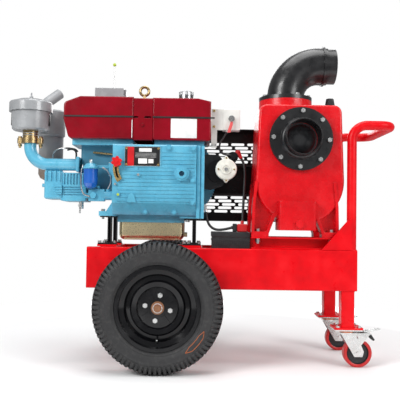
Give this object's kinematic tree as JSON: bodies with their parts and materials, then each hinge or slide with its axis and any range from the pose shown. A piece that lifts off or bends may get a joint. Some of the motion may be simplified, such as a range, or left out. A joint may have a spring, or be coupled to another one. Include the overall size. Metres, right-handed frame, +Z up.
{
  "type": "portable fire pump",
  "caption": "Trolley-mounted fire pump: horizontal single-cylinder diesel engine with belt drive, flanged suction port, upright discharge elbow, push handle, tyred wheels and casters.",
  "frame": {"origin": "on the ground, at the middle of the bounding box", "axes": "+X along the cart towards the push handle, +Y away from the engine's gear cover, +Z up"},
  "size_m": [1.8479, 0.89, 1.526],
  "materials": {
    "chassis_red": "gloss enamel with light orange peel",
    "pump_red": "gloss enamel over a cast surface",
    "engine_blue": "semi-gloss enamel over a cast surface",
    "maroon": "gloss enamel on pressed sheet",
    "grey_paint": "satin enamel",
    "black_paint": "satin enamel",
    "elbow_black": "gloss enamel",
    "rim_black": "gloss enamel",
    "tyre": "matt moulded rubber",
    "zinc": "bright zinc plate",
    "zinc_yellow": "yellow passivated zinc plate",
    "pan_gold": "olive-gold passivated sheet",
    "filter_blue": "gloss enamel",
    "muffler_grey": "heat-resistant satin paint",
    "knob_red": "moulded",
    "rubber_black": "matt",
    "rubber_red": "matt",
    "battery_case": "moulded polypropylene",
    "control_grey": "satin enamel",
    "plate_metal": "printed aluminium",
    "machined_steel": "machined",
    "float_plastic": "moulded",
    "caster_tread": "moulded polyurethane",
    "plug_black": "blackened"
  },
  "bodies": {
    "root": {"side_rails": "chassis_red", "cross_members": "chassis_red", "push_handle": "chassis_red", "wheel_axle": "chassis_red", "engine_stands": "black_paint", "crankcase": "engine_blue", "gear_cover": "engine_blue", "cylinder_head": "engine_blue", "oil_pan": "pan_gold", "zinc_fixings": "zinc", "coolant_hopper": "maroon", "tank_bracket": "maroon", "fuel_tank": "maroon", "tank_trim": "rubber_black", "filler_box": "grey_paint", "lifting_eye": "zinc_yellow", "air_cleaner_bowl": "grey_paint", "air_cleaner_cap": "grey_paint", "intake_neck": "zinc_yellow", "intake_pipe": "engine_blue", "exhaust": "muffler_grey", "fuel_filter_bowl": "filter_blue", "injection_group": "engine_blue", "fuel_pipes": "machined_steel", "negative_lead": "rubber_black", "positive_lead": "rubber_black", "wiring_loom": "rubber_black", "nameplate": "plate_metal", "starter_motor": "black_paint", "terminal_boots": "rubber_red", "control_box": "control_grey", "belt_guard": "black_paint", "drive_belts": "rubber_black", "pump_casing": "pump_red", "bearing_housing": "pump_red", "suction_spigot": "elbow_black", "discharge_elbow": "elbow_black", "priming_plug": "plug_black", "battery": "battery_case"},
    "wheel_near": {"tyre_near": "tyre", "wheel_rim_near": "rim_black"},
    "wheel_far": {"tyre_far": "tyre", "wheel_rim_far": "rim_black"},
    "engine_shaft": {"crankshaft": "machined_steel", "flywheel": "engine_blue", "engine_pulley": "plug_black"},
    "pump_rotor": {"pump_shaft": "machined_steel", "pump_pulley": "plug_black"},
    "flap": {"suction_flap": "plug_black"},
    "float": {"float_gauge": "float_plastic"},
    "filler_cap": {"fuel_cap": "zinc"},
    "throttle": {"throttle_knob": "knob_red"},
    "key": {"ignition_key": "rubber_red"},
    "drain_cock": {"drain_lever": "zinc"},
    "fork_near": {"caster_fork_near": "zinc"},
    "caster_near": {"caster_wheel_near": "caster_tread"},
    "pedal_near": {"caster_pedal_near": "zinc"},
    "fork_far": {"caster_fork_far": "zinc"},
    "caster_far": {"caster_wheel_far": "caster_tread"},
    "pedal_far": {"caster_pedal_far": "zinc"}
  },
  "joints": [
    {"name": "wheel_near_spin", "type": "hinge", "parent": "root", "child": "wheel_near", "pos_m": [-0.17, -0.375, 0.2845], "axis": [0, 1, 0], "continuous": true},
    {"name": "caster_near_swivel", "type": "hinge", "parent": "root", "child": "fork_near", "pos_m": [0.692, -0.193, 0.166], "axis": [0, 0, 1], "continuous": true},
    {"name": "caster_near_roll", "type": "hinge", "parent": "fork_near", "child": "caster_near", "pos_m": [0.741, -0.193, 0.065], "axis": [0, 1, 0], "continuous": true},
    {"name": "pedal_near_press", "type": "hinge", "parent": "fork_near", "child": "pedal_near", "pos_m": [0.776, -0.193, 0.15], "axis": [0, 1, 0], "range_deg": [0, 20]},
    {"name": "wheel_far_spin", "type": "hinge", "parent": "root", "child": "wheel_far", "pos_m": [-0.17, 0.375, 0.2845], "axis": [0, 1, 0], "continuous": true},
    {"name": "caster_far_swivel", "type": "hinge", "parent": "root", "child": "fork_far", "pos_m": [0.692, 0.193, 0.166], "axis": [0, 0, 1], "continuous": true},
    {"name": "caster_far_roll", "type": "hinge", "parent": "fork_far", "child": "caster_far", "pos_m": [0.741, 0.193, 0.065], "axis": [0, 1, 0], "continuous": true},
    {"name": "pedal_far_press", "type": "hinge", "parent": "fork_far", "child": "pedal_far", "pos_m": [0.776, 0.193, 0.15], "axis": [0, 1, 0], "range_deg": [0, 20]},
    {"name": "engine_spin", "type": "hinge", "parent": "root", "child": "engine_shaft", "pos_m": [-0.12, 0, 0.885], "axis": [0, 1, 0], "continuous": true},
    {"name": "pump_spin", "type": "hinge", "parent": "root", "child": "pump_rotor", "pos_m": [0.468, 0, 0.878], "axis": [0, 1, 0], "continuous": true},
    {"name": "flap_swing", "type": "hinge", "parent": "root", "child": "flap", "pos_m": [0.4715, -0.18, 1.1455], "axis": [1, 0, 0], "range_deg": [0, 50]},
    {"name": "float_rise", "type": "slide", "parent": "root", "child": "float", "axis": [0, 0, 1], "range_m": [-0.08, 0]},
    {"name": "cap_turn", "type": "hinge", "parent": "root", "child": "filler_cap", "pos_m": [-0.0665, -0.06, 1.26], "axis": [0, 0, 1], "range_deg": [0, 90]},
    {"name": "throttle_set", "type": "hinge", "parent": "root", "child": "throttle", "pos_m": [-0.292, -0.2, 0.9], "axis": [0, -1, 0], "range_deg": [0, 42]},
    {"name": "key_turn", "type": "hinge", "parent": "root", "child": "key", "pos_m": [0.154, -0.11, 1.156], "axis": [0, 1, 0], "range_deg": [0, 60]},
    {"name": "drain_turn", "type": "hinge", "parent": "root", "child": "drain_cock", "pos_m": [-0.566, -0.098, 0.728], "axis": [0, 1, 0], "range_deg": [0, 90]}
  ],
  "couplings": [
    {"joint": "pump_spin", "follows": "engine_spin", "ratio": 1.0625}
  ]
}
